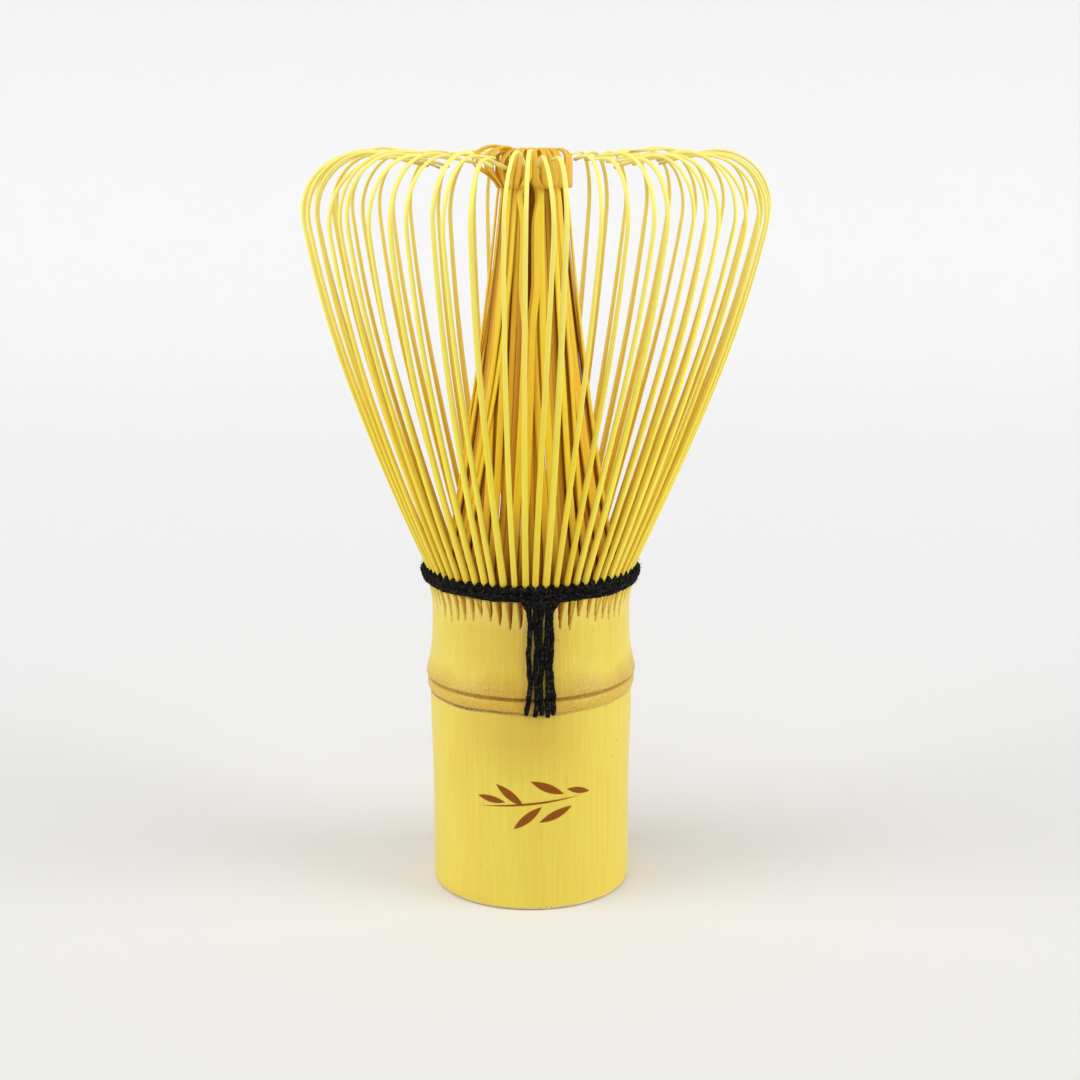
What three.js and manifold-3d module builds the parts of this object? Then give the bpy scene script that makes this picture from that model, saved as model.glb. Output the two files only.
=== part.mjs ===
// Bamboo tea whisk. One length of bamboo culm makes the whole tool: its lower end is the handle,
// and its upper end is split into sixteen staves. Each stave is split again into outer tines,
// which flare out and curl in at the tip, and inner tines, which lean together into a core.
// A black cotton thread is woven between the two sets, knotted at the front and left with short
// tails. Units are millimetres, the origin is at the middle of the bottom, and +Z runs up the axis.
import * as THREE from 'three';
import { mergeVertices } from 'three/addons/utils/BufferGeometryUtils.js';
import Module from 'manifold-3d';

const wasm = await Module();
wasm.setup();

// ---- driving dimensions ----------------------------------------------------------------------
const STAVES = 16;
const STAVE_ANGLE = 360 / STAVES;
const TINES_PER_STAVE = 4;
const TINE_ANGLE = 5.5; // between the tines of one stave; neighbouring staves stand a little wider
const GAP = 0.3; // clearance between neighbouring solids

const HANDLE_RADIUS = 14.2;
const BORE_RADIUS = 10.7;
const CULM_TOP = 41.2; // where the splits end
const NODE_HEIGHT = 31.2; // the groove of the bamboo's node
const SEPTUM_THICKNESS = 2.4; // the wall across the bore at the node

const ROOT_TOP = 43.6; // the staves are whole up to here
const OUTER_ROOT = { inside: 13.1, outside: 14.3, line: 13.75 };
const INNER_ROOT = { inside: 11.0, outside: 12.4, line: 11.95 };
const CORE_LINE = 11.45; // where the two middle inner tines of a stave start

const THREAD_DIAMETER = 1.1;
const TAILS = 5;
const TAIL_DIAMETER = 0.75;
const TAIL_END = 28.9;
const TAIL_ANGLE = 3.8; // between neighbouring tails
const KNOT_ANGLE = -84; // degrees round the axis from +X; the front is at -90

// A tine follows a chain of arcs in the plane of the axis. Each stretch has a length, a turn
// towards the axis in degrees, and the number of straight steps that stand for it.
const OUTER_LINE = [
  { length: 6.12, turn: -25, steps: 2 },
  { length: 26.2, turn: 4.3, steps: 1 },
  { length: 23.5, turn: 9.2, steps: 2 },
  { length: 14.75, turn: 101.5, steps: 4 },
  { length: 4.9, turn: 0, steps: 1 },
];
const INNER_LINE = [
  { length: 3.3, turn: 0, steps: 1 },
  { length: 5, turn: 10.5, steps: 1 },
  { length: 47.9, turn: -4.8, steps: 2 },
  { length: 4, turn: 8, steps: 1 },
];
const CORE_LINE_STRETCHES = [
  { length: 3.3, turn: 0, steps: 1 },
  { length: 5, turn: 14, steps: 1 },
  { length: 53.9, turn: -14, steps: 2 },
  { length: 2.7, turn: -180, steps: 4 },
  { length: 4.2, turn: 0, steps: 1 },
];
const OUTER_TINE = { width: [1.05, 0.62], thickness: [0.8, 0.36] };
const INNER_TINE = { width: [0.8, 0.75], thickness: [0.6, 0.34] };

const BAMBOO = { color: 0xe6cf5a, roughness: 0.5, metalness: 0 };
const CORE_BAMBOO = { color: 0xd9a73a, roughness: 0.6, metalness: 0 };
const COTTON = { color: 0x16141a, roughness: 0.9, metalness: 0 };

const whisk = new THREE.Group();

// ---- shared helpers --------------------------------------------------------------------------
function addMesh(name, geometry, look, turn = 0) {
  const mesh = new THREE.Mesh(geometry, new THREE.MeshStandardMaterial(look));
  mesh.name = name;
  mesh.rotation.z = THREE.MathUtils.degToRad(turn);
  whisk.add(mesh);
}

function closed(geometry) {
  const bare = geometry.clone();
  bare.deleteAttribute('normal');
  bare.deleteAttribute('uv');
  return mergeVertices(bare, 1e-4);
}

// A profile of (radius, height) points turned about the vertical axis.
function turned(points, segments) {
  return closed(new THREE.LatheGeometry(points, segments).rotateX(Math.PI / 2));
}

function joined(geometries) {
  const solids = geometries.map((geometry) => {
    const merged = closed(geometry);
    return new wasm.Manifold(new wasm.Mesh({
      numProp: 3,
      vertProperties: new Float32Array(merged.attributes.position.array),
      triVerts: new Uint32Array(merged.index.array),
    }));
  });
  const mesh = solids.reduce((whole, next) => whole.add(next)).getMesh();
  const result = new THREE.BufferGeometry();
  result.setAttribute('position', new THREE.BufferAttribute(mesh.vertProperties, 3));
  result.setIndex(new THREE.BufferAttribute(mesh.triVerts, 1));
  return result;
}

// The points of a chain of arcs, from a start that heads straight up. The heading is measured
// from +Z and leans outwards when positive.
function walk(radius, height, stretches) {
  const points = [{ radius, height, heading: 0, run: 0 }];
  for (const { length, turn, steps } of stretches) {
    const bend = THREE.MathUtils.degToRad(turn) / steps;
    const arc = length / steps;
    const chord = bend === 0 ? arc : (2 * arc * Math.sin(bend / 2)) / bend;
    for (let i = 0; i < steps; i += 1) {
      const last = points.at(-1);
      points.push({
        radius: last.radius + chord * Math.sin(last.heading - bend / 2),
        height: last.height + chord * Math.cos(last.heading - bend / 2),
        heading: last.heading - bend,
        run: last.run + arc,
      });
    }
  }
  return points;
}

// A flat strip that follows a line: a box with one ring of corners at each point of the line.
// widthAt and angleAt take the share of the length and the radius of a point on the line.
function tine(line, thickness, widthAt, angleAt) {
  const strip = new THREE.BoxGeometry(1, 1, 1, 1, 1, line.length - 1);
  const corners = strip.attributes.position;
  const corner = new THREE.Vector3();
  const up = new THREE.Vector3(0, 0, 1);
  for (let i = 0; i < corners.count; i += 1) {
    corner.fromBufferAttribute(corners, i);
    const point = line[Math.round((corner.z + 0.5) * (line.length - 1))];
    const share = point.run / line.at(-1).run;
    const out = corner.x * THREE.MathUtils.lerp(...thickness, share);
    const across = corner.y * widthAt(share, point.radius);
    corner.set(
      point.radius + out * Math.cos(point.heading),
      across,
      point.height - out * Math.sin(point.heading),
    );
    corner.applyAxisAngle(up, THREE.MathUtils.degToRad(angleAt(share)));
    corners.setXYZ(i, corner.x, corner.y, corner.z);
  }
  return strip;
}

// The whole wood at the foot of a stave: a piece of a ring.
function rootBlock({ inside, outside }, bottom) {
  const half = THREE.MathUtils.degToRad(STAVE_ANGLE / 2) - GAP / 2 / inside;
  const outline = new THREE.Shape();
  outline.absarc(0, 0, outside, -half, half, false);
  outline.absarc(0, 0, inside, half, -half, true);
  const block = new THREE.ExtrudeGeometry(outline, {
    depth: ROOT_TOP - bottom,
    bevelEnabled: false,
    curveSegments: 2,
  });
  return block.translate(0, 0, bottom);
}

// ---- the culm: handle, node and the solid ring below the splits --------------------------------
function culmGeometry() {
  const profile = new THREE.Path();
  const septumTop = NODE_HEIGHT + SEPTUM_THICKNESS / 2;
  profile.moveTo(0, septumTop - SEPTUM_THICKNESS);
  profile.lineTo(BORE_RADIUS - 1, septumTop - SEPTUM_THICKNESS);
  profile.quadraticCurveTo(BORE_RADIUS, septumTop - SEPTUM_THICKNESS, BORE_RADIUS, septumTop - 3.8);
  profile.lineTo(BORE_RADIUS, 0);
  profile.lineTo(HANDLE_RADIUS - 0.5, 0);
  profile.quadraticCurveTo(HANDLE_RADIUS, 0, HANDLE_RADIUS, 0.5);
  profile.lineTo(HANDLE_RADIUS, 18);
  profile.quadraticCurveTo(HANDLE_RADIUS + 0.1, 26, HANDLE_RADIUS + 0.6, 28.6);
  profile.lineTo(HANDLE_RADIUS + 0.6, 30.2);
  profile.lineTo(HANDLE_RADIUS + 0.35, NODE_HEIGHT);
  profile.lineTo(HANDLE_RADIUS + 0.8, NODE_HEIGHT + 0.7);
  profile.quadraticCurveTo(HANDLE_RADIUS + 0.1, 35.5, HANDLE_RADIUS - 0.1, CULM_TOP);
  profile.lineTo(INNER_ROOT.inside, CULM_TOP);
  profile.lineTo(INNER_ROOT.inside, septumTop + 1);
  profile.quadraticCurveTo(INNER_ROOT.inside, septumTop, INNER_ROOT.inside - 1, septumTop);
  profile.lineTo(0, septumTop);
  return turned(profile.getPoints(2), 36);
}
addMesh('culm_handle', culmGeometry(), BAMBOO);

// ---- the staves ------------------------------------------------------------------------------
// The angle of each tine from the middle of its stave.
const tineAngles = Array.from({ length: TINES_PER_STAVE }, (_, i) => (
  (i - (TINES_PER_STAVE - 1) / 2) * TINE_ANGLE
));
const rootBottom = CULM_TOP + GAP;
const footHeight = rootBottom + 0.7; // a tine starts inside its root block

function outerStave() {
  const line = walk(OUTER_ROOT.line, footHeight, OUTER_LINE);
  const tines = tineAngles.map((angle) => tine(
    line,
    OUTER_TINE.thickness,
    (share) => THREE.MathUtils.lerp(...OUTER_TINE.width, share),
    () => angle,
  ));
  return joined([rootBlock(OUTER_ROOT, rootBottom), ...tines]);
}

// Half of the inner tines stand a little further out and end under the cap of the core. The
// others reach its top and curl out and down over them. All of them draw together in pairs,
// and each is as wide as its share of the narrowing stave leaves room for.
function innerStave() {
  const outside = walk(INNER_ROOT.line, footHeight, INNER_LINE);
  const core = walk(CORE_LINE, footHeight, CORE_LINE_STRETCHES);
  const roomShare = 0.72;
  const halfStave = Math.tan(THREE.MathUtils.degToRad(STAVE_ANGLE / 2));
  const tines = tineAngles.map((angle, i) => {
    const isCore = i > 0 && i < TINES_PER_STAVE - 1;
    const topAngle = Math.sign(angle) * (STAVE_ANGLE / 4);
    return tine(
      isCore ? core : outside,
      INNER_TINE.thickness,
      (share, radius) => Math.min(
        THREE.MathUtils.lerp(...INNER_TINE.width, share),
        roomShare * radius * halfStave,
      ),
      (share) => THREE.MathUtils.lerp(angle, topAngle, Math.min(1, share / 0.8)),
    );
  });
  return joined([rootBlock(INNER_ROOT, rootBottom), ...tines]);
}

const outerGeometry = outerStave();
const innerGeometry = innerStave();
for (let i = 0; i < STAVES; i += 1) {
  const number = String(i + 1).padStart(2, '0');
  addMesh(`outer_stave_${number}`, outerGeometry.clone(), BAMBOO, i * STAVE_ANGLE);
  const between = i * STAVE_ANGLE + TINE_ANGLE / 2; // inner tines show in the gaps of the outer ones
  addMesh(`inner_stave_${number}`, innerGeometry.clone(), CORE_BAMBOO, between);
}

// ---- the thread ------------------------------------------------------------------------------
function threadTurn(radius, height) {
  const section = new THREE.Path();
  section.absarc(radius, height, THREAD_DIAMETER / 2, 0, 2 * Math.PI, false);
  return turned(section.getSpacedPoints(6), 32);
}
const lowerTurn = { radius: 15.5, height: 45 };
const upperTurn = { radius: 16.1, height: 46.5 };
addMesh('thread_lower_turn', threadTurn(lowerTurn.radius, lowerTurn.height), COTTON);
addMesh('thread_upper_turn', threadTurn(upperTurn.radius, upperTurn.height), COTTON);
addMesh('thread_woven_turn', threadTurn(13.2, 45.75), COTTON);

// The knot is a squashed lump just under the turns, and narrows downwards into the tails.
function knotGeometry() {
  const knot = new THREE.CylinderGeometry(2.9, 1.7, 1.8, 10, 1);
  knot.rotateX(Math.PI / 2);
  knot.scale(0.22, 1, 1);
  return closed(knot.translate(15.45, 0, 43.2));
}
addMesh('thread_knot', knotGeometry(), COTTON, KNOT_ANGLE);

// A tail hangs down the handle's surface, which swells at the node.
function tailGeometry(tilt, end) {
  const clear = HANDLE_RADIUS + GAP + TAIL_DIAMETER / 2;
  const start = 42;
  const swell = (height) => 0.8 * Math.exp(-(((height - NODE_HEIGHT - 0.4) / 2.6) ** 2));
  const points = Array.from({ length: 7 }, (_, i) => {
    const height = THREE.MathUtils.lerp(start, end, i / 6);
    return new THREE.Vector3(clear + swell(height), tilt * (start - height), height);
  });
  const section = new THREE.Shape();
  section.absarc(0, 0, TAIL_DIAMETER / 2, 0, 2 * Math.PI, false);
  return closed(new THREE.ExtrudeGeometry(section, {
    steps: 8,
    curveSegments: 3,
    extrudePath: new THREE.CatmullRomCurve3(points),
  }));
}
for (let i = 0; i < TAILS; i += 1) {
  const side = i - (TAILS - 1) / 2;
  const end = TAIL_END + 0.4 * (i % 2);
  addMesh(`thread_tail_${i + 1}`, tailGeometry(side * 0.01, end), COTTON, KNOT_ANGLE + side * TAIL_ANGLE);
}

export default whisk;
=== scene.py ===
import math

import bpy
import numpy as np
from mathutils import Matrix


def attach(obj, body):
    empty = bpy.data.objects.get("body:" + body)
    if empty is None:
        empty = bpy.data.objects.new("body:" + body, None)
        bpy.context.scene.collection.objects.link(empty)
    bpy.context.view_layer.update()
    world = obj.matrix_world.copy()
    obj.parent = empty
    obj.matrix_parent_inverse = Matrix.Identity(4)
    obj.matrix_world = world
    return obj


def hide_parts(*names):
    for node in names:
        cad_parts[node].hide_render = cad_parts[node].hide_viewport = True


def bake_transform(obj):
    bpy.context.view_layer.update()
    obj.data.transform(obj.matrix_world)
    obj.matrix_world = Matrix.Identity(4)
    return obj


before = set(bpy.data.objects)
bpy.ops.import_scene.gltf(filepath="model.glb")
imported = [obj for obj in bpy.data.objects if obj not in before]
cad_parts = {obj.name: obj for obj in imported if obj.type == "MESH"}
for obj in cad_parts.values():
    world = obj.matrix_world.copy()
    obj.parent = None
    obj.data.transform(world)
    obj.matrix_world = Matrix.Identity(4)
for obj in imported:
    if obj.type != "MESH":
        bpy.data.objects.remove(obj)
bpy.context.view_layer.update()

# ---- Studio ------------------------------------------------------------------------------------
# The whisk stands on a pale paper sweep, lit softly from both sides and from above, and is seen
# from a little above the tips. Lengths here are in metres.

def srgb(red, green, blue):
    """The linear colour of an 8-bit display colour: each share of 255 is put through the sRGB curve."""
    share = np.array([red, green, blue]) / 255
    linear = np.where(share <= 0.04045, share / 12.92, ((share + 0.055) / 1.055) ** 2.4)
    return (*linear.tolist(), 1.0)


def put(tree, kind, sockets=None, **settings):
    """Adds a shader node. settings are its properties, and sockets gives each input, by its name
    or number, a value or the output that feeds it."""
    made = tree.nodes.new("ShaderNode" + kind)
    for key, value in settings.items():
        setattr(made, key, value)
    for key, value in (sockets or {}).items():
        if isinstance(value, bpy.types.NodeSocket):
            tree.links.new(value, made.inputs[key])
        else:
            made.inputs[key].default_value = value
    return made


def new_material(name):
    """A material with an empty node tree and its output, which the caller fills."""
    material = bpy.data.materials.new(name)
    material.use_nodes = True
    material.node_tree.nodes.clear()
    return material, material.node_tree, put(material.node_tree, "OutputMaterial")


SENSOR_WIDTH = 36
FOCAL_LENGTH = 62.8
CAMERA_PLACE = (0.00133, -0.2623, 0.10884)
CAMERA_DIP = 12.55
LIGHTING_STRENGTH, SEEN_STRENGTH = 0.42, 0.88

scene = bpy.context.scene
camera_data = bpy.data.cameras.new("camera")
camera_data.sensor_width = SENSOR_WIDTH
camera_data.lens = FOCAL_LENGTH
camera_data.clip_start = 0.01
camera = bpy.data.objects.new("camera", camera_data)
camera.location = CAMERA_PLACE
camera.rotation_euler = (math.radians(90 - CAMERA_DIP), 0, 0)
scene.collection.objects.link(camera)
scene.camera = camera
scene.view_settings.view_transform = "Standard"

# The white room lights the whisk softly and looks brighter than it shines.
world = bpy.data.worlds.new("studio")
world.use_nodes = True
backdrop = world.node_tree.nodes["Background"]
backdrop.inputs["Color"].default_value = (1, 1, 1, 1)
seen = put(world.node_tree, "LightPath").outputs["Is Camera Ray"]
glow = put(world.node_tree, "MapRange", {0: seen, 3: LIGHTING_STRENGTH, 4: SEEN_STRENGTH})
world.node_tree.links.new(glow.outputs[0], backdrop.inputs["Strength"])
scene.world = world


def soft_sun(name, aim, spread, strength):
    """Even light from far away. aim is the way it shines, and spread is how wide its source is
    seen to be, in degrees."""
    data = bpy.data.lights.new(name, "SUN")
    data.energy = strength
    data.angle = math.radians(spread)
    light = bpy.data.objects.new(name, data)
    across, ahead, up = aim
    tilt = math.atan2(math.hypot(across, ahead), -up)
    light.rotation_euler = (tilt, 0, math.atan2(ahead, across) - math.pi / 2)
    scene.collection.objects.link(light)


soft_sun("left_softbox", (0.88, 0.27, -0.4), 45, 1.4)
soft_sun("right_softbox", (-0.88, 0.27, -0.4), 45, 1.6)
soft_sun("top_softbox", (0.1, 0.3, -0.93), 30, 0.73)


def paper_sweep():
    """A sheet that lies flat, then turns up behind through a quarter circle and stands."""
    half_width, front, bend, radius, top = 3.0, -3.0, 0.5, 0.5, 1.6
    corner = np.linspace(0, math.pi / 2, 24)
    depth = np.concatenate([[front], bend + radius * np.sin(corner), [bend + radius]])
    height = np.concatenate([[0], radius * (1 - np.cos(corner)), [top]])
    side = np.repeat([[-half_width], [half_width]], len(depth), axis=1)
    points = np.stack([side, np.stack([depth] * 2), np.stack([height] * 2)], axis=-1)
    n = len(depth)
    quads = [(i, i + n, i + n + 1, i + 1) for i in range(n - 1)]
    mesh = bpy.data.meshes.new("paper_sweep")
    mesh.from_pydata(points.reshape(-1, 3).tolist(), [], quads)
    mesh.polygons.foreach_set("use_smooth", [True] * len(mesh.polygons))
    return mesh


paper, tree, output = new_material("studio_paper")
tooth = put(tree, "TexNoise", {"Scale": 900.0, "Detail": 2.0})
shader = put(tree, "BsdfPrincipled", {"Base Color": (0.78, 0.78, 0.78, 1), "Roughness": 0.9})
relief = put(tree, "Bump", {"Strength": 0.02, "Height": tooth.outputs["Fac"]})
tree.links.new(relief.outputs[0], shader.inputs["Normal"])
tree.links.new(shader.outputs[0], output.inputs[0])
sweep = bpy.data.objects.new("paper_sweep", paper_sweep())
sweep.data.materials.append(paper)
scene.collection.objects.link(sweep)

# ---- Culm --------------------------------------------------------------------------------------
# One length of dried bamboo: handle, node with its ridge, groove and inner wall, and the crown
# where the head is split. It is cut square at the foot, left hollow, and the splits taper out
# in narrow notches under the thread. Lengths from here on are in millimetres.
MM = 0.001
OUTER_STAVES = 16
TINES = 4
TINE_PITCH = 360 / OUTER_STAVES / TINES
TINE_SPACING = 5.5  # degrees between two tines of one stave
HANDLE_RADIUS = 14.2
BORE_RADIUS = 10.7
CUP_RADIUS = 11.0
WALL_FOOT, WALL_TOP = 30.0, 32.4  # the node's inner wall
RIDGE, GROOVE = 30.3, 31.25
CROWN_FOOT, CROWN_TOP = 40.6, 45.0
rng = np.random.default_rng(7)

# Where each outer tine stands round the axis, in degrees: four to a stave, not quite evenly.
stave_middles = np.arange(OUTER_STAVES) * 360 / OUTER_STAVES
tine_offsets = (np.arange(TINES) - (TINES - 1) / 2) * TINE_SPACING
outer_angles = stave_middles[:, None] + tine_offsets + rng.uniform(-0.5, 0.5, (OUTER_STAVES, TINES))


def between_tines(turn):
    """0 at each outer tine and 1 midway to the next, eased between them by half a cosine wave."""
    tines = np.sort(np.radians(outer_angles.ravel()) % (2 * math.pi))
    middles = (tines + np.r_[tines[1:], tines[0] + 2 * math.pi]) / 2
    places = np.stack([tines, middles], axis=1).ravel()
    share = np.interp(turn, places, np.tile([0.0, 1.0], len(tines)), period=2 * math.pi)
    return 0.5 - 0.5 * np.cos(math.pi * share)


def tube_mesh(name, rings, attributes, loops=False):
    """Closed tubes in one mesh. rings[t, i, j] is corner j of ring i of tube t, with the corners
    anticlockwise seen against the way the tube runs. Quads join each ring to the next, and each
    end is closed by a flat face, or the last ring is joined to the first where the tube loops."""
    tubes, stations, corners = rings.shape[:3]
    index = np.arange(tubes * stations * corners).reshape(tubes, stations, corners)
    here = index if loops else index[:, :-1]
    there = np.roll(index, -1, axis=1) if loops else index[:, 1:]
    quads = np.stack([here, np.roll(here, -1, 2), np.roll(there, -1, 2), there], axis=-1).reshape(-1, 4)
    faces = quads.tolist()
    if not loops:
        faces += index[:, 0, ::-1].tolist() + index[:, -1].tolist()
    mesh = bpy.data.meshes.new(name)
    mesh.from_pydata((rings.reshape(-1, 3) * MM).tolist(), [], faces)
    smooth = np.arange(len(faces)) < len(quads)
    mesh.polygons.foreach_set("use_smooth", smooth)
    for key, values in attributes.items():
        layer = mesh.attributes.new(key, "FLOAT_VECTOR", "POINT")
        layer.data.foreach_set("vector", np.broadcast_to(values, rings.shape).astype(np.float32).ravel())
    piece = bpy.data.objects.new(name, mesh)
    scene.collection.objects.link(piece)
    return piece


def smoothstep(low, high, value):
    """0 below low, 1 above high, and 3t^2 - 2t^3 between them."""
    t = np.clip((value - low) / (high - low), 0, 1)
    return t * t * (3 - 2 * t)


def skin_radius(level):
    """The culm's outer radius. Below the groove it widens slowly and swells in a round ridge.
    Above, it bulges and falls away as a stretched exponential, and flares again at the crown."""
    ridge = 0.4 * np.exp(-(np.abs((level - RIDGE) / 0.92) ** 3))
    crease = 0.12 * np.exp(-(((level - 29.15) / 0.22) ** 2))
    below = HANDLE_RADIUS + 0.3 * smoothstep(14, 28, level) + ridge - crease
    above = 14.08 + 0.95 * np.exp(-((np.maximum(level - 31.7, 0) / 3) ** 1.3))
    above = above + 0.3 * (np.maximum(level - 41, 0) / 2.6) ** 2
    across = smoothstep(GROOVE - 0.1, GROOVE + 0.35, level)
    groove = 0.3 * np.exp(-(((level - GROOVE) / 0.22) ** 2))
    return below * (1 - across) + above * across - groove


def split_depth(turn, level):
    """How deep the splits cut into the crown, from 0 to 1: each is a notch that is closed at its
    foot and opens upwards as a power of the height, with walls that fall off smoothly."""
    rims = np.sort(outer_angles.ravel())
    notches = (rims + np.roll(rims, -1) + 360 * (np.arange(len(rims)) == len(rims) - 1)) / 2
    draw = np.random.default_rng(11)
    feet = draw.uniform(CROWN_FOOT + 0.1, CROWN_FOOT + 2.1, len(notches))
    skew = draw.uniform(-0.16, 0.16, len(notches))
    opening = draw.uniform(0.3, 0.52, len(notches))
    apart = (np.degrees(turn)[:, None] - notches + 180) % 360 - 180
    nearest = np.argmin(np.abs(apart), axis=1)
    across = np.take_along_axis(apart, nearest[:, None], 1)[:, 0] * math.radians(1) * HANDLE_RADIUS
    rise = np.clip((level[:, None] - feet[nearest]) / (CROWN_TOP - 0.6 - feet[nearest]), 0, 1)
    half = 0.03 + opening[nearest] * rise ** 0.9
    return (1 - smoothstep(0.45, 1.1, np.abs(across + skew[nearest] * rise) / half)) * (rise > 0)


def culm_surface():
    """Rings round the axis for a profile that starts under the node's inner wall, runs down the
    bore, across the foot, up the skin, over the crown and down the cup to the wall's top."""
    turn = np.linspace(0, 2 * math.pi, 720, endpoint=False)
    skin = np.concatenate([
        np.linspace(0.6, 26, 26), np.linspace(26.8, 28.2, 3), np.linspace(28.4, 30.6, 12),
        np.linspace(30.8, 32.2, 15), np.linspace(32.6, 40, 12), np.linspace(40.5, CROWN_TOP, 26),
    ])
    fillet = np.linspace(0, math.pi / 2, 6)
    lead_in = [(0.2, WALL_FOOT), (6, WALL_FOOT), (9.4, WALL_FOOT)]
    lead_in += list(zip(9.4 + 1.3 * np.sin(fillet[1:]), 28.7 + 1.3 * np.cos(fillet[1:])))
    lead_in += [(BORE_RADIUS, h) for h in np.linspace(26, 0.35, 8)]
    lead_in += [(BORE_RADIUS + 0.12, 0.08), (BORE_RADIUS + 0.35, 0.0), (12.3, 0.0), (13.5, 0.0)]
    lead_in += list(zip(13.6 + 0.6 * np.sin(fillet[1:-1]), 0.6 - 0.6 * np.cos(fillet[1:-1])))
    lead_out = [(13.9, CROWN_TOP + 0.1), (13.1, CROWN_TOP), (12.5, 43.6), (CUP_RADIUS + 0.2, 43.6)]
    lead_out += [(CUP_RADIUS, h) for h in np.linspace(43.4, 33.8, 8)]
    lead_out += list(zip(9.6 + 1.4 * np.cos(fillet[1:]), 33.8 - 1.4 * np.sin(fillet[1:])))
    lead_out += [(6, WALL_TOP), (0.2, WALL_TOP)]

    def plain(points):
        """Rings that are true circles."""
        radius, height = (np.repeat(np.array(v)[:, None], len(turn), axis=1) for v in zip(*points))
        return radius, height, height, np.zeros_like(radius), np.ones_like(radius)

    level = np.repeat(skin[:, None], len(turn), axis=1)
    near_node = np.exp(-(((skin - GROOVE) / 5) ** 2))[:, None]
    height = level + near_node * (0.13 * np.sin(turn + 0.9) + 0.07 * np.sin(3 * turn + 2))
    split = split_depth(turn, skin)
    round_out = 0.05 * np.sin(2 * turn + 0.4) + 0.03 * np.sin(5 * turn + 1.3)
    fibre = 0.008 * np.sin(61 * turn + 3 * np.sin(7 * turn)) + 0.006 * np.sin(137 * turn + 1)
    radius = skin_radius(skin)[:, None] + round_out + fibre - 0.85 * split
    parts = [plain(lead_in), (radius, height, level, split, np.zeros_like(radius)), plain(lead_out)]
    radius, height, level, split, inside = (np.concatenate(rows) for rows in zip(*parts))
    rings = np.stack([radius * np.cos(turn), radius * np.sin(turn), height], axis=-1)
    return rings[None], np.stack([level, split, inside], axis=-1)[None]


def bamboo_fibre_group():
    """Shared by every bamboo surface: fine streaks along the culm, slower patches, and a height.
    Its vector is in millimetres with the fibres along Z, which is squeezed so noise draws out."""
    group = bpy.data.node_groups.new("bamboo fibre", "ShaderNodeTree")
    for name, kind in (("Vector", "NodeSocketVector"), ("Fineness", "NodeSocketFloat")):
        group.interface.new_socket(name, in_out="INPUT", socket_type=kind)
    for name in ("Streak", "Patch", "Height"):
        group.interface.new_socket(name, in_out="OUTPUT", socket_type="NodeSocketFloat")
    given = group.nodes.new("NodeGroupInput")
    wanted = group.nodes.new("NodeGroupOutput")
    place, fineness = given.outputs["Vector"], given.outputs["Fineness"]
    drawn = put(group, "VectorMath", {0: place, 1: (1, 1, 0.035)}, operation="MULTIPLY")
    scaled = put(group, "VectorMath", {0: drawn.outputs[0], "Scale": fineness}, operation="SCALE")
    fine = {"Vector": scaled.outputs[0], "Scale": 1.0, "Detail": 5.0, "Roughness": 0.65}
    streak = put(group, "TexNoise", fine)
    spread = put(group, "MapRange", {0: streak.outputs["Fac"], 1: 0.33, 2: 0.67})
    slow = put(group, "VectorMath", {0: place, 1: (0.16, 0.16, 0.035)}, operation="MULTIPLY")
    patch = put(group, "TexNoise", {"Vector": slow.outputs[0], "Scale": 1.0, "Detail": 3.0})
    patch_spread = put(group, "MapRange", {0: patch.outputs["Fac"], 1: 0.35, 2: 0.65})
    group.links.new(spread.outputs[0], wanted.inputs["Streak"])
    group.links.new(patch_spread.outputs[0], wanted.inputs["Patch"])
    group.links.new(streak.outputs["Fac"], wanted.inputs["Height"])
    return group


bamboo_fibre = bamboo_fibre_group()


def mix(tree, share, low, high):
    """A colour between two, by a share that is a number or an output."""
    return put(tree, "Mix", {0: share, 6: low, 7: high}, data_type="RGBA").outputs[2]


def calc(tree, operation, first, second=0.0, third=0.0, clamp=False):
    """One step of arithmetic on numbers or outputs."""
    terms = {0: first, 1: second, 2: third}
    return put(tree, "Math", terms, operation=operation, use_clamp=clamp).outputs[0]


def ramp(tree, value, start, stop, low=0.0, high=1.0):
    """Low where the value is at start, high where it is at stop, and even and clamped between."""
    return put(tree, "MapRange", {0: value, 1: start, 2: stop, 3: low, 4: high}).outputs[0]


def band(tree, value, centre, half, soft):
    """1 within half of the centre, falling to 0 over soft on both sides."""
    away = calc(tree, "ABSOLUTE", calc(tree, "SUBTRACT", value, centre))
    return ramp(tree, away, half + soft, half)


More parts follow.
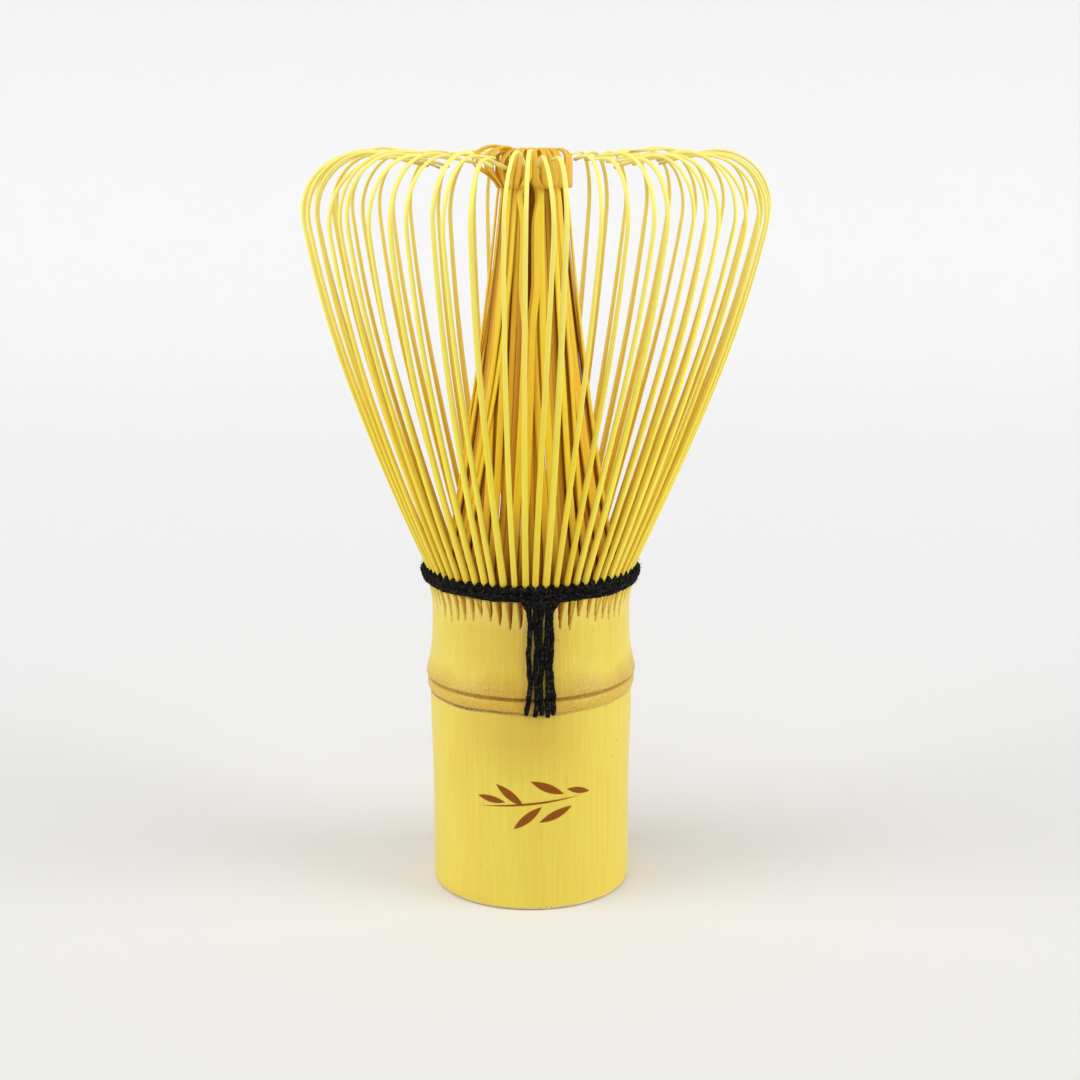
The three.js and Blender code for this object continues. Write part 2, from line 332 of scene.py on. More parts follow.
def leaf_group():
    """A burnt leaf: 1 inside a lens shape and 0 outside. The point is moved to the leaf's middle
    and turned, and it is inside where its distance from the midrib is less than the half width
    times one minus the square of its place along the leaf."""
    group = bpy.data.node_groups.new("burnt leaf", "ShaderNodeTree")
    for name in ("Point", "Middle"):
        group.interface.new_socket(name, in_out="INPUT", socket_type="NodeSocketVector")
    for name in ("Turn", "Half length", "Half width"):
        group.interface.new_socket(name, in_out="INPUT", socket_type="NodeSocketFloat")
    group.interface.new_socket("Mask", in_out="OUTPUT", socket_type="NodeSocketFloat")
    given = group.nodes.new("NodeGroupInput")
    wanted = group.nodes.new("NodeGroupOutput")
    point, middle = given.outputs["Point"], given.outputs["Middle"]
    moved = put(group, "VectorMath", {0: point, 1: middle}, operation="SUBTRACT")
    aim = {"Vector": moved.outputs[0], "Angle": given.outputs["Turn"]}
    turned = put(group, "VectorRotate", aim, rotation_type="Z_AXIS")
    split = put(group, "SeparateXYZ", {0: turned.outputs[0]})
    along = calc(group, "DIVIDE", split.outputs[0], given.outputs["Half length"])
    along_squared = calc(group, "MULTIPLY", along, along)
    taper = calc(group, "SUBTRACT", 1.0, along_squared)
    edge = calc(group, "MULTIPLY", taper, given.outputs["Half width"])
    past = calc(group, "SUBTRACT", calc(group, "ABSOLUTE", split.outputs[1]), edge)
    group.links.new(ramp(group, past, 0.05, -0.05), wanted.inputs["Mask"])
    return group


# The sprig's leaves: place along the arc and up, lean in degrees, half length and half width.
# The first is so thin that it makes the stem.
SPRIG = (
    (0.0, 15.9, -6, 7.2, 0.17), (-2.9, 17.1, 38, 2.5, 0.62), (2.4, 18.2, 24, 2.6, 0.62),
    (-5.6, 16.3, 8, 2.1, 0.5), (-0.4, 13.8, -40, 2.6, 0.62), (3.6, 14.2, -24, 2.6, 0.6),
    (7.0, 17.4, 14, 1.9, 0.46),
)


def culm_material():
    """Dried bamboo skin: straw yellow with fine streaks, painted shade down the front of the handle, brown
    speckles above the groove, a thin scorched line in it, orange wood in the splits with painted shade
    along their deepest line, paler cut wood inside, and a burnt leaf sprig."""
    material, tree, output = new_material("dried_bamboo_skin")
    place = put(tree, "TexCoord").outputs["Object"]
    in_mm = put(tree, "VectorMath", {0: place, "Scale": 1 / MM}, operation="SCALE").outputs[0]
    fibre = put(tree, "Group", node_tree=bamboo_fibre)
    tree.links.new(in_mm, fibre.inputs["Vector"])
    fibre.inputs["Fineness"].default_value = 2.6
    streak, patch = fibre.outputs["Streak"], fibre.outputs["Patch"]
    facts = put(tree, "SeparateXYZ", {0: put(tree, "Attribute", attribute_name="culm").outputs["Vector"]})
    level, split, inside = facts.outputs

    skin = mix(tree, streak, srgb(227, 202, 62), srgb(234, 213, 76))
    skin = mix(tree, calc(tree, "MULTIPLY", patch, 0.25), skin, srgb(216, 180, 50))
    # painted shade: the middle of the handle's front, facing the camera, is darkened where less light falls
    # on it
    front_shade = band(tree, level, 33.0, 8.0, 7.0)
    axes = put(tree, "SeparateXYZ", {0: in_mm})
    front = calc(tree, "MULTIPLY", axes.outputs[1], -1.0)
    arc = calc(tree, "MULTIPLY", calc(tree, "ARCTAN2", axes.outputs[0], front), HANDLE_RADIUS)
    front_shade = calc(tree, "MULTIPLY", front_shade, band(tree, arc, -1.0, 2.0, 9.0))
    skin = mix(tree, calc(tree, "MULTIPLY", front_shade, 0.55), skin, srgb(206, 166, 46))
    ridge = band(tree, level, RIDGE, 0.7, 0.7)
    skin = mix(tree, calc(tree, "MULTIPLY", ridge, 0.5), skin, srgb(220, 168, 26))

    speckle = put(tree, "TexNoise", {"Vector": in_mm, "Scale": 3.6, "Detail": 6.0, "Roughness": 0.85})
    grains = ramp(tree, speckle.outputs["Fac"], 0.44, 0.6)
    reach = calc(tree, "MULTIPLY_ADD", patch, 1.8, level)
    above_node = ramp(tree, reach, 35.8, 32.2)
    above_node = calc(tree, "MULTIPLY", above_node, calc(tree, "GREATER_THAN", level, GROOVE))
    tanned = calc(tree, "MULTIPLY", grains, above_node)
    skin = mix(tree, calc(tree, "MULTIPLY", above_node, 0.45), skin, srgb(198, 146, 26))
    skin = mix(tree, calc(tree, "MULTIPLY", tanned, 0.75), skin, srgb(160, 106, 20))
    ridge_specks = calc(tree, "MULTIPLY", ridge, grains)
    skin = mix(tree, calc(tree, "MULTIPLY", ridge_specks, 0.45), skin, srgb(160, 104, 14))
    broken = ramp(tree, speckle.outputs["Fac"], 0.36, 0.56)
    scorched = calc(tree, "MULTIPLY", band(tree, level, GROOVE + 0.05, 0.08, 0.32), broken)
    skin = mix(tree, calc(tree, "MULTIPLY", scorched, 0.7), skin, srgb(108, 66, 18))
    foot = band(tree, calc(tree, "MULTIPLY_ADD", patch, 0.3, level), 29.35, 0.12, 0.24)
    leftward = ramp(tree, arc, 7.0, -5.0, 0.35)
    foot = calc(tree, "MULTIPLY", foot, calc(tree, "MULTIPLY_ADD", broken, 0.9, 0.1))
    skin = mix(tree, calc(tree, "MULTIPLY", foot, leftward), skin, srgb(104, 52, 4))
    pores = put(tree, "TexVoronoi", {"Vector": in_mm, "Scale": 0.25}).outputs["Distance"]
    pores = ramp(tree, pores, 0.06, 0.03, high=0.6)
    skin = mix(tree, pores, skin, srgb(176, 120, 28))
    notch = ramp(tree, split, 0.05, 0.55)
    skin = mix(tree, calc(tree, "MULTIPLY", notch, 0.85), skin, srgb(220, 152, 36))
    # painted shade: the deepest line of each split is darkened where the gap lies in shade
    skin = mix(tree, ramp(tree, split, 0.75, 1.0), skin, srgb(150, 80, 14))
    flame = ramp(tree, level, 40.5, 43.0, high=0.5)
    flame = calc(tree, "MULTIPLY", flame, calc(tree, "LESS_THAN", split, 0.05))
    skin = mix(tree, flame, skin, srgb(240, 216, 110))

    # the sprig: the point is laid flat as arc length and height, and the leaves meet on a stem
    flat = put(tree, "CombineXYZ", {0: arc, 1: axes.outputs[2], 2: 0.0}).outputs[0]
    leaf = leaf_group()
    burnt = 0.0
    for across, height, lean, half_length, half_width in SPRIG:
        shape = put(tree, "Group", node_tree=leaf)
        tree.links.new(flat, shape.inputs["Point"])
        shape.inputs["Middle"].default_value = (across, height, 0)
        shape.inputs["Turn"].default_value = math.radians(lean)
        shape.inputs["Half length"].default_value = half_length
        shape.inputs["Half width"].default_value = half_width
        burnt = calc(tree, "MAXIMUM", burnt, shape.outputs["Mask"])
    burnt = calc(tree, "MULTIPLY", burnt, calc(tree, "LESS_THAN", inside, 0.5))
    skin = mix(tree, calc(tree, "MULTIPLY", burnt, 0.97), skin, srgb(138, 68, 0))

    # cut wood: vessels show as dots on the foot and are drawn out along the walls
    drawn = put(tree, "VectorMath", {0: in_mm, 1: (1, 1, 0.08)}, operation="MULTIPLY").outputs[0]
    vessels = put(tree, "TexVoronoi", {"Vector": drawn, "Scale": 1.9}).outputs["Distance"]
    dots = ramp(tree, vessels, 0.28, 0.12, high=0.7)
    cut = mix(tree, patch, srgb(224, 196, 120), srgb(238, 216, 150))
    cut = mix(tree, dots, cut, srgb(150, 104, 48))
    colour = mix(tree, inside, skin, cut)

    rough = ramp(tree, streak, 0.0, 1.0, 0.42, 0.55)
    rough = calc(tree, "ADD", rough, calc(tree, "MULTIPLY", inside, 0.25))
    relief = calc(tree, "SUBTRACT", fibre.outputs["Height"], calc(tree, "MULTIPLY", burnt, 1.5))
    bump = put(tree, "Bump", {"Strength": 0.25, "Distance": 0.06 * MM, "Height": relief})
    shader = put(tree, "BsdfPrincipled", {
        "Base Color": colour, "Roughness": rough, "Normal": bump.outputs[0],
        "Coat Weight": calc(tree, "MULTIPLY_ADD", burnt, -0.3, 0.3), "Coat Roughness": 0.35,
        "Specular IOR Level": calc(tree, "MULTIPLY_ADD", burnt, -0.35, 0.5),
    })
    tree.links.new(shader.outputs[0], output.inputs[0])
    return material


rings, culm_facts = culm_surface()
culm = tube_mesh("culm", rings, {"culm": culm_facts})
culm.data.materials.append(culm_material())
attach(culm, "culm")
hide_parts("culm_handle")

# ---- Outer tines -------------------------------------------------------------------------------
# Sixteen staves of four springy strips, shaved thin towards the tip, heated and curled inwards.
# Each strip is swept along a chain of arcs, and no two flare, lean, twist or end quite alike.
LEAN, CORE_LEAN = 1.2, 0.3  # how far the tips and the core's top stand to the right
OUTER_ARCS = np.array([(6.12, -24.5), (26.2, 4.3), (23.5, 9.2), (14.75, 101.5), (6.5, 0)])
FLARE = 23  # degrees that the long middle of a tine stands out from upright
ROOT_LEVEL, THREAD_LEVEL, TIP_LEVEL, RIM_LEVEL = 42.2, 45.0, 105.0, 104.6
OUTER_ROOT = 13.75  # from the axis to the middle of a tine's root
UP = np.array([0, 0, 1])
GRAIN_SHIFT = np.array([31.0, 17.0, 59.0])  # how far the grain moves on for a whole tone
SQUARENESS = 0.72  # 1 makes a round section, and less makes it squarer


def arc_line(arcs, radius, height, steps):
    """A chain of arcs in the plane of the axis. The heading starts straight up and turns evenly
    along each arc, and radius and height are the running sums of its sine and cosine."""
    lengths, turns = arcs.T
    run = np.linspace(0, lengths.sum(), steps)
    heading = -np.radians(np.interp(run, np.r_[0, np.cumsum(lengths)], np.r_[0, np.cumsum(turns)]))
    step = np.diff(run)
    half = (heading[1:] + heading[:-1]) / 2
    out = radius + np.r_[0, np.cumsum(step * np.sin(half))]
    up = height + np.r_[0, np.cumsum(step * np.cos(half))]
    return run, out, up, heading


def strip_rings(line, angle, width, thickness, roll, lean=LEAN, corners=12):
    """Carries a rounded flat section along a line: a superellipse whose thickness lies along the
    line's outward normal and whose width lies across it, both turned by the roll."""
    run, out, up, heading = line
    angle, roll = np.radians(angle), np.radians(roll)
    radial = np.stack([np.cos(angle), np.sin(angle), np.zeros_like(run)], axis=-1)
    across = np.stack([-np.sin(angle), np.cos(angle), np.zeros_like(run)], axis=-1)
    normal = radial * np.cos(heading)[:, None] - UP * np.sin(heading)[:, None]
    centre = radial * out[:, None] + UP * up[:, None]
    rise = np.clip((up - THREAD_LEVEL) / (TIP_LEVEL - THREAD_LEVEL), 0, 1)
    centre[:, 0] += lean * rise ** 1.4
    normal_rolled = normal * np.cos(roll)[:, None] + across * np.sin(roll)[:, None]
    across_rolled = across * np.cos(roll)[:, None] - normal * np.sin(roll)[:, None]
    place = np.linspace(0, 2 * math.pi, corners, endpoint=False)
    a = np.sign(np.cos(place)) * np.abs(np.cos(place)) ** SQUARENESS / 2 * thickness[:, None]
    b = np.sign(np.sin(place)) * np.abs(np.sin(place)) ** SQUARENESS / 2 * width[:, None]
    ring = centre[:, None] + normal_rolled[:, None] * a[..., None] + across_rolled[:, None] * b[..., None]
    grain = np.stack(np.broadcast_arrays(b, a, run[:, None]), axis=-1)
    return ring, grain, np.broadcast_to(np.cos(place), ring.shape[:2])


def strip_piece(name, strips, tones):
    """Joins the strips of one stave and gives their corners what the materials read: the grain's
    place in millimetres, moved on by the tone so that no two strips match, and the strip's tone, which
    also carries painted shade for strips that stand behind others, share of the length, and side, from 1 on
    its skin to -1 on its inner face."""
    rings = np.stack([ring for ring, _, _ in strips])
    share = np.linspace(0, 1, rings.shape[1])[:, None]
    grains, facts = [], []
    for (_, grain, side), tone in zip(strips, tones):
        grains.append(grain + tone[-1] * GRAIN_SHIFT)
        facts.append(np.stack(np.broadcast_arrays(tone, share, side), axis=-1))
    return tube_mesh(name, rings, {"grain": np.stack(grains), "tine": np.stack(facts)})


def tine_material(name, pale, deep, shade, tip, foot, pale_share, foot_share):
    """Shaved bamboo: pale on the skin side and deeper towards the inner side, partly its own colour and
    partly painted shade on its edges, streaked along the strip, a little darker at the foot, with painted
    shade at the foot of the inner strips and where its tone goes past 1, which strips that stand behind
    others have. It is paler towards its upper end and toasted at the tip."""
    material, tree, output = new_material(name)
    fibre = put(tree, "Group", node_tree=bamboo_fibre)
    tree.links.new(put(tree, "Attribute", attribute_name="grain").outputs["Vector"], fibre.inputs["Vector"])
    fibre.inputs["Fineness"].default_value = 5.0
    facts = put(tree, "SeparateXYZ", {0: put(tree, "Attribute", attribute_name="tine").outputs["Vector"]})
    tone, share, side = facts.outputs
    streak, patch = fibre.outputs["Streak"], fibre.outputs["Patch"]
    depth = calc(tree, "MULTIPLY_ADD", tone, 0.42, calc(tree, "MULTIPLY", streak, 0.3))
    depth = calc(tree, "MULTIPLY_ADD", patch, 0.2, depth, clamp=True)
    colour = mix(tree, depth, pale, deep)
    # painted shade: a tone past 1 marks a strip that stands behind others, and it is darkened towards the
    # foot colour
    behind_shade = ramp(tree, tone, 1.0, 1.8, high=0.45)
    colour = mix(tree, behind_shade, colour, foot)
    # partly painted shade: the edges and inner face are darkened towards the shade colour, which is also
    # the inner face's own deeper colour
    inward = ramp(tree, side, 0.85, -0.6, high=0.58)
    colour = mix(tree, inward, colour, shade)
    pale_end = ramp(tree, share, 0.35, 0.85, high=pale_share)
    colour = mix(tree, pale_end, colour, srgb(255, 250, 150))
    # darker towards the foot; on the inner strips this is painted shade where they lie behind the outer
    # tines near the thread
    at_foot = ramp(tree, share, 0.26, 0.07, high=foot_share)
    colour = mix(tree, at_foot, colour, foot)
    at_tip = ramp(tree, share, 0.955, 1.0, high=0.75)
    colour = mix(tree, calc(tree, "MULTIPLY", at_tip, tone), colour, tip)
    rough = ramp(tree, streak, 0.0, 1.0, 0.46, 0.62)
    bump = put(tree, "Bump", {"Strength": 0.3, "Distance": 0.03 * MM, "Height": fibre.outputs["Height"]})
    shader = put(tree, "BsdfPrincipled", {
        "Base Color": colour, "Roughness": rough, "Normal": bump.outputs[0], "Specular IOR Level": 0.3,
    })
    tree.links.new(shader.outputs[0], output.inputs[0])
    return material


outer_bamboo = tine_material(
    "shaved_outer_bamboo", pale=srgb(253, 243, 92), deep=srgb(240, 208, 34), shade=srgb(204, 136, 8),
    tip=srgb(150, 90, 20), foot=srgb(226, 166, 24), pale_share=0.65, foot_share=0.3,
)
for k in range(OUTER_STAVES):
    strips = []
    tones = rng.uniform(0, 1, (TINES, 1, 1))
    for i in range(TINES):
        arcs = OUTER_ARCS + 0.0
        arcs[0, 1] += rng.normal(0, 0.4)
        arcs[2] += rng.normal(0, (0.4, 0.9))
        arcs[3] = arcs[3, 0] + rng.normal(0, 0.5), 91 + abs(rng.normal(0, 7)) - arcs[:3, 1].sum()
        arcs[4] += rng.normal(0, (0.9, 3.0))
        line = arc_line(arcs, OUTER_ROOT, ROOT_LEVEL, 72)
        short = RIM_LEVEL + rng.normal(0, 0.25) - line[2].max()
        arcs[1, 0] += short / math.cos(math.radians(FLARE))
        line = arc_line(arcs, OUTER_ROOT, ROOT_LEVEL, 72)
        share = line[0] / line[0][-1]
        drift = rng.normal(0, 0.8) * smoothstep(0, 0.8, share)
        drift = drift + rng.normal(0, 1.9) * smoothstep(0.72, 1, share)
        width = np.interp(share, [0, 0.08, 0.4, 0.8, 1], [0.92, 0.96, 0.8, 0.58, 0.54])
        width = width * rng.uniform(0.85, 1.15)
        thickness = np.interp(share, [0, 0.035, 0.1, 0.5, 1], [0.4, 0.78, 0.68, 0.5, 0.34])
        roll = rng.normal(0, 10) * smoothstep(0.1, 0.8, share)
        roll = roll + rng.normal(0, 24) * smoothstep(0.8, 1, share)
        strips.append(strip_rings(line, outer_angles[k, i] + drift, width, thickness, roll))
    piece = strip_piece(f"outer_tines_{k + 1:02d}", strips, tones)
    piece.data.materials.append(outer_bamboo)
    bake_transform(piece)
    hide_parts(f"outer_stave_{k + 1:02d}")

# ---- Inner tines -------------------------------------------------------------------------------
# The strips between the outer ones lean together into a core that narrows like a trumpet. Half
# of them end under its cap. The others come up inside, roll over the top and hang down as flat
# ribbons with square cut ends, and a few on the left spring out wider, as curled lobes.
INNER_ARCS = np.array([(3.3, 0), (5, 10.5), (47.9, -4.8), (4, 8)])
CORE_ARCS = np.array([(3.3, 0), (5, 10.5), (46.5, -4.9), (3.6, 20), (3.8, -25.6), (4.5, -180), (3.7, 0)])
LOBE_ARCS = np.array([
    (3.3, 0), (5, 10.5), (46.5, -4.9), (3.6, 20), (3.2, -25.6),
    (3.2, -80), (3.4, -50), (2.2, -100), (3.2, 20),
])
# The tines that make the lobes, by stave and place in it, and how far each springs out.
LOBE_SIZES = {
    (7, 2): 0.6, (8, 1): 1.0, (8, 2): 0.75, (9, 1): 1.2, (9, 2): 0.9, (10, 1): 1.05, (10, 2): 0.7,
}
LOBE_END = (4.9, 99.9)  # where a lobe's ribbon ends: radius and height
CORE_ROOT, CROSSING_ROOT = 11.45, 11.95
PAIR_ANGLE = 5.6  # degrees from a stave's middle to the middle of each pair of tines
RIBBON_HALF = 0.46
FRONT_GAP = -93  # where the core stands open at the front, in degrees
SHINGLE = 17  # degrees that each ribbon is rolled, so that one edge lies over the next

# the inner strips' foot colour is painted shade, laid on their feet and on strips that stand behind others
inner_bamboo = tine_material(
    "shaved_inner_bamboo", pale=srgb(255, 231, 46), deep=srgb(232, 166, 12), shade=srgb(220, 158, 20),
    tip=srgb(226, 164, 36), foot=srgb(128, 58, 8), pale_share=0.1, foot_share=0.9,
)
for k in range(OUTER_STAVES):
    middle_angle = stave_middles[k] + TINE_PITCH / 2
    strips = []
    tones = []
    ribbon_wag = rng.normal(0, 2.5)
    slant = -15 * math.exp(-(((middle_angle - 232) / 30) ** 2)) + rng.normal(0, 2.5)
    for i in range(TINES):
        is_core = i in (1, 2)
        lobe_size = LOBE_SIZES.get((k, i))
        if not is_core:
            arcs = INNER_ARCS + 0.0
            arcs[1, 1] += rng.normal(0, 0.25)
        elif lobe_size:
            arcs = LOBE_ARCS * np.array([[1, 1]] * 5 + [[lobe_size, 1]] * 4)
            arcs[2, 0] += 1.5 * (1 - lobe_size)
        else:
            arcs = CORE_ARCS + 0.0
        root = CORE_ROOT if is_core else CROSSING_ROOT
        run, out, up, heading = arc_line(arcs, root, ROOT_LEVEL, 100)
        share = run / run[-1]
        drawn = smoothstep(0.05, 0.85, share)
        side = -1 if i < TINES / 2 else 1
        if lobe_size:
            pull = smoothstep(0.9, 1, share)
            out = out + pull * (LOBE_END[0] - out[-1])
            up = up + pull * (LOBE_END[1] - up[-1])
        if is_core:
            out = out - 0.35 * smoothstep(0.05, 0.3, share)
            half = RIBBON_HALF * (0.5 + 0.5 * smoothstep(0.92, 0.96, share))
            beside = np.degrees(np.arcsin(np.clip(half / np.maximum(out, 1), 0, 1)))
            pair = beside * side + ribbon_wag
            paired = smoothstep(0.82, 0.9, share)
            top = side * PAIR_ANGLE * (1 - paired) + pair * paired
            top = top + slant * smoothstep(0.93, 1, share)
        else:
            layer = (k + i) % 2
            out = out - 0.42 * layer * drawn
            lean = 10 + 6 * math.sin(math.radians(2 * middle_angle + 40)) + rng.normal(0, 1.5)
            top = side * PAIR_ANGLE + lean * (1 - 2 * layer)
        spread = (1 - drawn) * tine_offsets[i] + drawn * top
        spread = spread + rng.normal(0, 0.9) * np.sin(share * math.pi * rng.uniform(1, 2.2))
        from_gap = (middle_angle + spread - FRONT_GAP + 180) % 360 - 180
        opened = smoothstep(80, 88, up) * (1 - smoothstep(99.5, 101.5, up))
        opened = opened * (7 + 8 * np.exp(-(((up - 98.8) / 2.2) ** 2)))
        spread = spread + opened * np.sign(from_gap) * np.exp(-((from_gap / 13) ** 2))
        waist = end = 0.8
        if is_core:
            waist = 0.62
            end = 1.3 if lobe_size else 1.12
        widths = [0.95, 1.1, 1.08, 0.95, waist, waist, end]
        width = np.interp(share, [0, 0.1, 0.3, 0.6, 0.88, 0.93, 0.97], widths)
        width = width * rng.uniform(0.9, 1.08)
        thickness = np.interp(share, [0, 0.1, 0.6, 1], [0.6, 0.5, 0.36, 0.3])
        twist = rng.normal(0, 12)  # drawn for every strip, and used by those that cross
        if is_core:
            # painted shade: core strips are darkened along their middle, where they stand behind the
            # crossing strips, and the inner layer of crossing strips a little
            roll = SHINGLE * smoothstep(0.9, 0.96, share)
            behind = smoothstep(6, 14, run) * (1 - smoothstep(55, 60, run))
        else:
            roll = twist * np.sin(share * math.pi)
            behind = 0.25 * layer
        tones.append((rng.uniform(0, 0.8) + behind * np.ones_like(share))[:, None])
        line = (run, out, up, heading)
        strips.append(strip_rings(line, middle_angle + spread, width, thickness, roll, CORE_LEAN))
    piece = strip_piece(f"inner_tines_{k + 1:02d}", strips, tones)
    piece.data.materials.append(inner_bamboo)
    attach(piece, "culm")
    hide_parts(f"inner_stave_{k + 1:02d}")

# ---- Thread ------------------------------------------------------------------------------------
# Black waxed cotton in three plies. Three turns hold the outer tines, one more runs behind them
# and shows as dark teeth in the gaps, and the ends are knotted at the front and hang as tails.
KNOT_TURN = -84.4
THREAD_RADIUS = 15  # from the axis to the thread
SIDEWAYS = np.array([1, 1, 0])  # times a point, leaves out its height
TAIL_TOP = 46.4
TAIL_SIZE, KNOT_SIZE = 0.37, 0.6
HAIRS = 900


def yarn_rings(path, normal, radius, ply_pitch=2.4, plies=3, corners=18, loops=False, swell=None):
    """A twisted yarn along a path. Its section has one lobe per ply, the lobes turn once round
    the path in a ply pitch, and two sine waves along it make it lumpy. normal points to one side
    of the path all along it."""
    ahead = np.roll(path, -1, 0) - np.roll(path, 1, 0) if loops else np.gradient(path, axis=0)
    ahead = ahead / np.linalg.norm(ahead, axis=1, keepdims=True)
    normal = normal - ahead * (normal * ahead).sum(1, keepdims=True)
    normal = normal / np.linalg.norm(normal, axis=1, keepdims=True)
    side = np.cross(ahead, normal)
    run = np.r_[0, np.cumsum(np.linalg.norm(np.diff(path, axis=0), axis=1))]
    whole = run[-1] + np.linalg.norm(path[0] - path[-1]) * loops
    pitch = whole / max(1, round(whole / ply_pitch))
    place = np.linspace(0, 2 * math.pi, corners, endpoint=False)
    lobe = 0.84 + 0.16 * np.abs(np.cos(plies / 2 * (place - 2 * math.pi * run[:, None] / pitch)))
    phase = 2 * math.pi * run / whole
    lump = 0.05 * np.sin(phase * round(whole / 1.7))
    lump = lump + 0.05 * np.sin(phase * round(whole / 2.9) + radius * 40)
    size = radius * lobe * (1 + lump[:, None]) * (1 if swell is None else swell[:, None])
    rings = path[:, None] + normal[:, None] * (size * np.cos(place))[..., None]
    rings = rings + side[:, None] * (size * np.sin(place))[..., None]
    along = np.broadcast_to(run[:, None], size.shape)
    return rings, np.stack([np.broadcast_to(np.cos(place), size.shape), lobe, along], axis=-1)


def cotton_material():
    """Black waxed cotton: near black and rough, with pale specks painted on as highlights and hardly any
    shine.
    """
    material, tree, output = new_material("black_cotton")
    place = put(tree, "TexCoord").outputs["Object"]
    hairs = put(tree, "TexNoise", {"Vector": place, "Scale": 9000.0, "Detail": 3.0, "Roughness": 0.7})
    # painted highlight: pale specks stand in for light glinting on the yarn
    highlight_noise = put(tree, "TexNoise", {"Vector": place, "Scale": 2600.0, "Detail": 2.0})
    highlight_flecks = ramp(tree, highlight_noise.outputs["Fac"], 0.52, 0.68)
    colour = mix(tree, hairs.outputs["Fac"], (0.0015, 0.0015, 0.002, 1), (0.006, 0.0055, 0.006, 1))
    colour = mix(tree, calc(tree, "MULTIPLY", highlight_flecks, 0.6), colour, (0.06, 0.052, 0.038, 1))
    rough = ramp(tree, hairs.outputs["Fac"], 0.0, 1.0, 0.65, 0.95)
    bump = put(tree, "Bump", {"Strength": 0.8, "Distance": 0.05 * MM, "Height": hairs.outputs["Fac"]})
    shader = put(tree, "BsdfPrincipled", {
        "Base Color": colour, "Roughness": rough, "Normal": bump.outputs[0], "Specular IOR Level": 0.08,
    })
    tree.links.new(shader.outputs[0], output.inputs[0])
    return material


cotton = cotton_material()


def thread_piece(name, rings, facts, nodes, loops=False):
    """A thread mesh that rides on the culm and stands for CAD nodes."""
    piece = tube_mesh(name, rings[None], {"yarn": facts[None]}, loops)
    piece.data.materials.append(cotton)
    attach(piece, "culm")
    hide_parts(*nodes)


def turn_path(radius, height, out_between, up_between, wobble, steps=720):
    """A turn round the tines: a circle that moves out and up by set amounts between tines, with a
    slow wobble in radius and height."""
    turn = np.linspace(0, 2 * math.pi, steps, endpoint=False)
    gap = between_tines(turn)
    radius = radius + out_between * gap + 0.05 * np.sin(9 * turn + wobble)
    height = height + up_between * gap + 0.1 * np.sin(2 * turn + wobble)
    height = height + 0.08 * np.sin(11 * turn + 2 * wobble)
    radial = np.stack([np.cos(turn), np.sin(turn), np.zeros_like(turn)], axis=-1)
    return radial * radius[:, None] + UP * height[:, None], radial


for name, radius, height, out_between, up_between, wobble, size, nodes in (
    ("thread_lower_turn", 14.95, 45.50, -0.05, 0.0, 0.3, 0.46, ["thread_lower_turn"]),
    ("thread_middle_turn", 15.15, 45.95, -0.1, 0.0, 1.9, 0.50, ["thread_lower_turn", "thread_upper_turn"]),
    ("thread_upper_turn", 15.30, 46.60, -0.2, 0.1, 4.2, 0.46, ["thread_upper_turn"]),
    ("thread_woven_turn", 14.0, 46.8, 0.95, 0.3, 2.5, 0.48, ["thread_woven_turn"]),
):
    path, radial = turn_path(radius, height, out_between, up_between, wobble)
    rings, facts = yarn_rings(path, radial, size, loops=True)
    thread_piece(name, rings, facts, nodes, loops=True)


def down_the_culm(angle, height, lift):
    """Points lifted off the culm's skin at an angle in degrees and a height."""
    angle = np.radians(angle)
    out = skin_radius(np.minimum(height, 43.5)) + lift
    return np.stack([out * np.cos(angle), out * np.sin(angle), height], axis=-1)


# Each tail's place across the knot, across its lower part, and the height where it is cut.
TAILS = ((-2.4, -1.6, 29.2), (-1.2, -0.64, 28.8), (-0.1, 0.02, 29.0), (1.1, 0.88, 28.7), (2.4, 1.5, 29.1))
tail_paths = []
for i, (top, low, end) in enumerate(TAILS):
    share = np.linspace(0, 1, 130)
    height = TAIL_TOP + (end - TAIL_TOP) * share
    gather = smoothstep(43.4, 46.0, height)
    across = top * gather + low * (1 - gather) + 0.16 * low * smoothstep(33, 29, height)
    across = across + 0.11 * np.sin(height * 0.8 + i * 1.9) + 0.04 * np.sin(height * 2.3 + i)
    lift = 0.36 + 0.8 * smoothstep(43.0, 45.2, height) + 0.05 * np.sin(height * 1.3 + i * 2.1)
    path = down_the_culm(KNOT_TURN + np.degrees(across / THREAD_RADIUS), height, lift)
    tail_paths.append(path)
    taper = np.interp(share, [0, 0.05, 0.97, 1], [0.9, 1, 1.02, 0.8])
    rings, facts = yarn_rings(path, path * SIDEWAYS, TAIL_SIZE, ply_pitch=2.2, swell=taper)
    thread_piece(f"thread_tail_{i + 1}", rings, facts, [f"thread_tail_{i + 1}"])

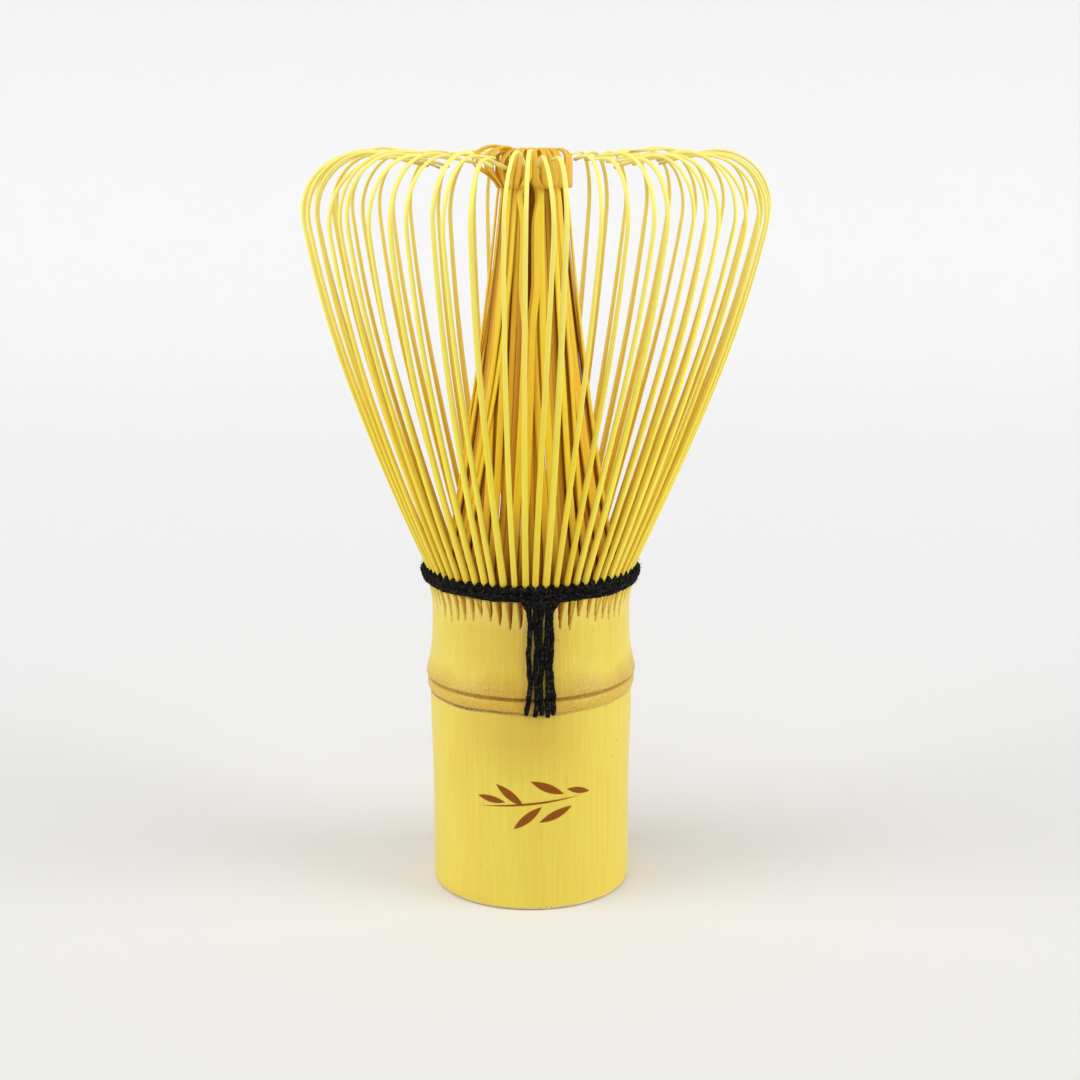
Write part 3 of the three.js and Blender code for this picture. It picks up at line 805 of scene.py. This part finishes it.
share = np.linspace(-1, 1, 60)
height = 45.0 + 0.2 * share ** 2 + 0.1 * share
wrap = down_the_culm(KNOT_TURN + 10 * share, height, 1.25 - 0.5 * share ** 4)
taper = np.interp(np.abs(share), [0, 0.8, 1], [1, 0.9, 0.3])
rings, facts = yarn_rings(wrap, wrap * SIDEWAYS, KNOT_SIZE, ply_pitch=1.9, swell=taper)
thread_piece("thread_knot", rings, facts, ["thread_knot"])


def fuzz_rings(roots, outwards, along, length, draw):
    """Loose hairs as three-sided threads. Each starts inside the yarn, leaves it between outwards
    and the way the yarn runs, and bends to one side as the square of its length."""
    count = len(roots)
    lean = draw.normal(0, 1, (count, 1))
    rise = draw.normal(0, 0.5, (count, 1)) * UP
    aim = outwards * draw.uniform(0.35, 1.1, (count, 1)) + along * lean + rise
    aim = aim / np.linalg.norm(aim, axis=1, keepdims=True)
    bend = np.cross(aim, draw.normal(0, 1, (count, 3)))
    share = np.linspace(0, 1, 4)[:, None]
    reach = draw.uniform(0.4, 1, (count, 1, 1)) * length
    path = roots[:, None] + aim[:, None] * share * reach + bend[:, None] * share ** 2 * reach * 0.4
    side = np.cross(aim, outwards + 0.01)
    side = side / np.linalg.norm(side, axis=1, keepdims=True)
    up = np.cross(aim, side)
    place = np.linspace(0, 2 * math.pi, 3, endpoint=False)
    thin = 0.022 * (1 - 0.6 * share)
    ring = side[:, None, None] * np.cos(place)[:, None] + up[:, None, None] * np.sin(place)[:, None]
    return path[:, :, None] + ring * thin[..., None]


draw = np.random.default_rng(23)
turn = draw.uniform(0, 2 * math.pi, HAIRS)
level = draw.uniform(44.9, 47.2, HAIRS)
radial = np.stack([np.cos(turn), np.sin(turn), np.zeros_like(turn)], axis=-1)
roots = radial * (14.95 + 0.25 * (level - 44.4))[:, None] + UP * level[:, None]
on_tails = np.concatenate([path[30::2] for path in tail_paths])
tail_radial = on_tails * SIDEWAYS / THREAD_RADIUS
tail_roots = on_tails + tail_radial * 0.25
hairs = np.concatenate([
    fuzz_rings(roots, radial, np.cross(UP, radial), 0.55, draw),
    fuzz_rings(tail_roots, tail_radial, np.cross(UP, tail_radial), 0.6, draw),
])
fuzz = tube_mesh("thread_fuzz", hairs, {"yarn": np.zeros_like(hairs)})
fuzz.data.materials.append(cotton)
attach(fuzz, "culm")
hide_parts("thread_lower_turn", "thread_upper_turn")
